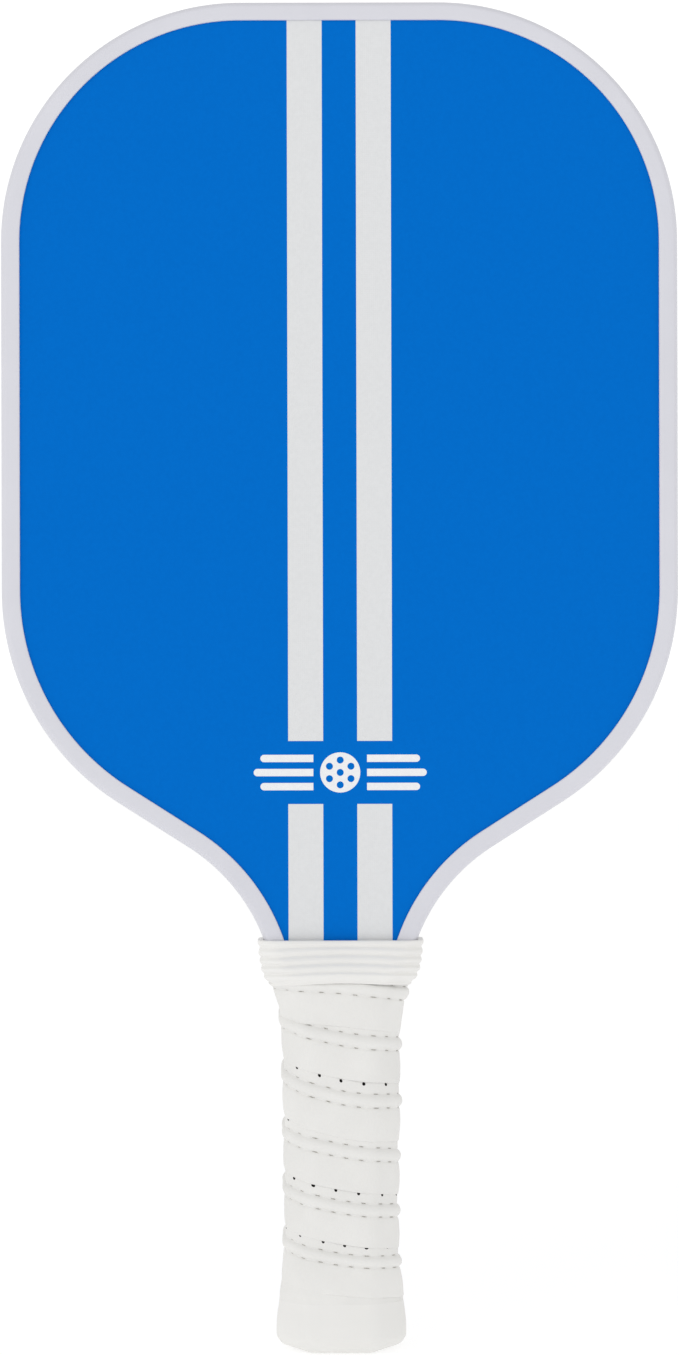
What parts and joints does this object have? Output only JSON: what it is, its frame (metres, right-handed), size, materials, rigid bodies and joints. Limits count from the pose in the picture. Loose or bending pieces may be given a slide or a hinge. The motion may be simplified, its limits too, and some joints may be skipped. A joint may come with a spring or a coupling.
{
  "type": "pickleball paddle",
  "caption": "Pickleball paddle: rounded honeycomb-core blade with striped faces and a white edge guard, on an octagonal handle with a ribbed spiral grip, rubber collar and flared butt cap.",
  "frame": {"origin": "centre of the butt cap's underside, with the paddle standing on its butt end", "axes": "+X to the right across the face, +Y from the front face to the back face, +Z from the butt up the handle to the tip"},
  "size_m": [0.2022, 0.033, 0.4022],
  "materials": {
    "core": "translucent natural polypropylene",
    "bond_film": "cured adhesive film",
    "face_sheet": "fibreglass laminate",
    "face_print": "satin printed film, fine playing texture",
    "edge_guard": "satin moulded TPU",
    "foam_tape": "thin foam tape",
    "handle": "moulded structural foam",
    "butt_cap": "satin moulded plastic",
    "badge": "blank domed sticker",
    "staple": "galvanised wire",
    "grip": "matte synthetic leather with sewn rib and perforations",
    "adhesive": "double-sided tape",
    "finishing_tape": "vinyl tape",
    "collar": "matte moulded rubber"
  },
  "bodies": {
    "root": {"honeycomb_core": "core", "front_bond_film": "bond_film", "back_bond_film": "bond_film", "front_face_sheet": "face_sheet", "back_face_sheet": "face_sheet", "front_graphic_film": "face_print", "back_graphic_film": "face_print", "edge_guard": "edge_guard", "edge_guard_tape": "foam_tape", "handle_front_half": "handle", "handle_back_half": "handle", "butt_cap": "butt_cap", "butt_cap_badge": "badge", "butt_cap_staple_front": "staple", "butt_cap_staple_back": "staple", "grip_strip": "grip", "grip_adhesive_tape": "adhesive", "grip_finishing_tape": "finishing_tape", "rubber_collar": "collar"}
  },
  "joints": []
}
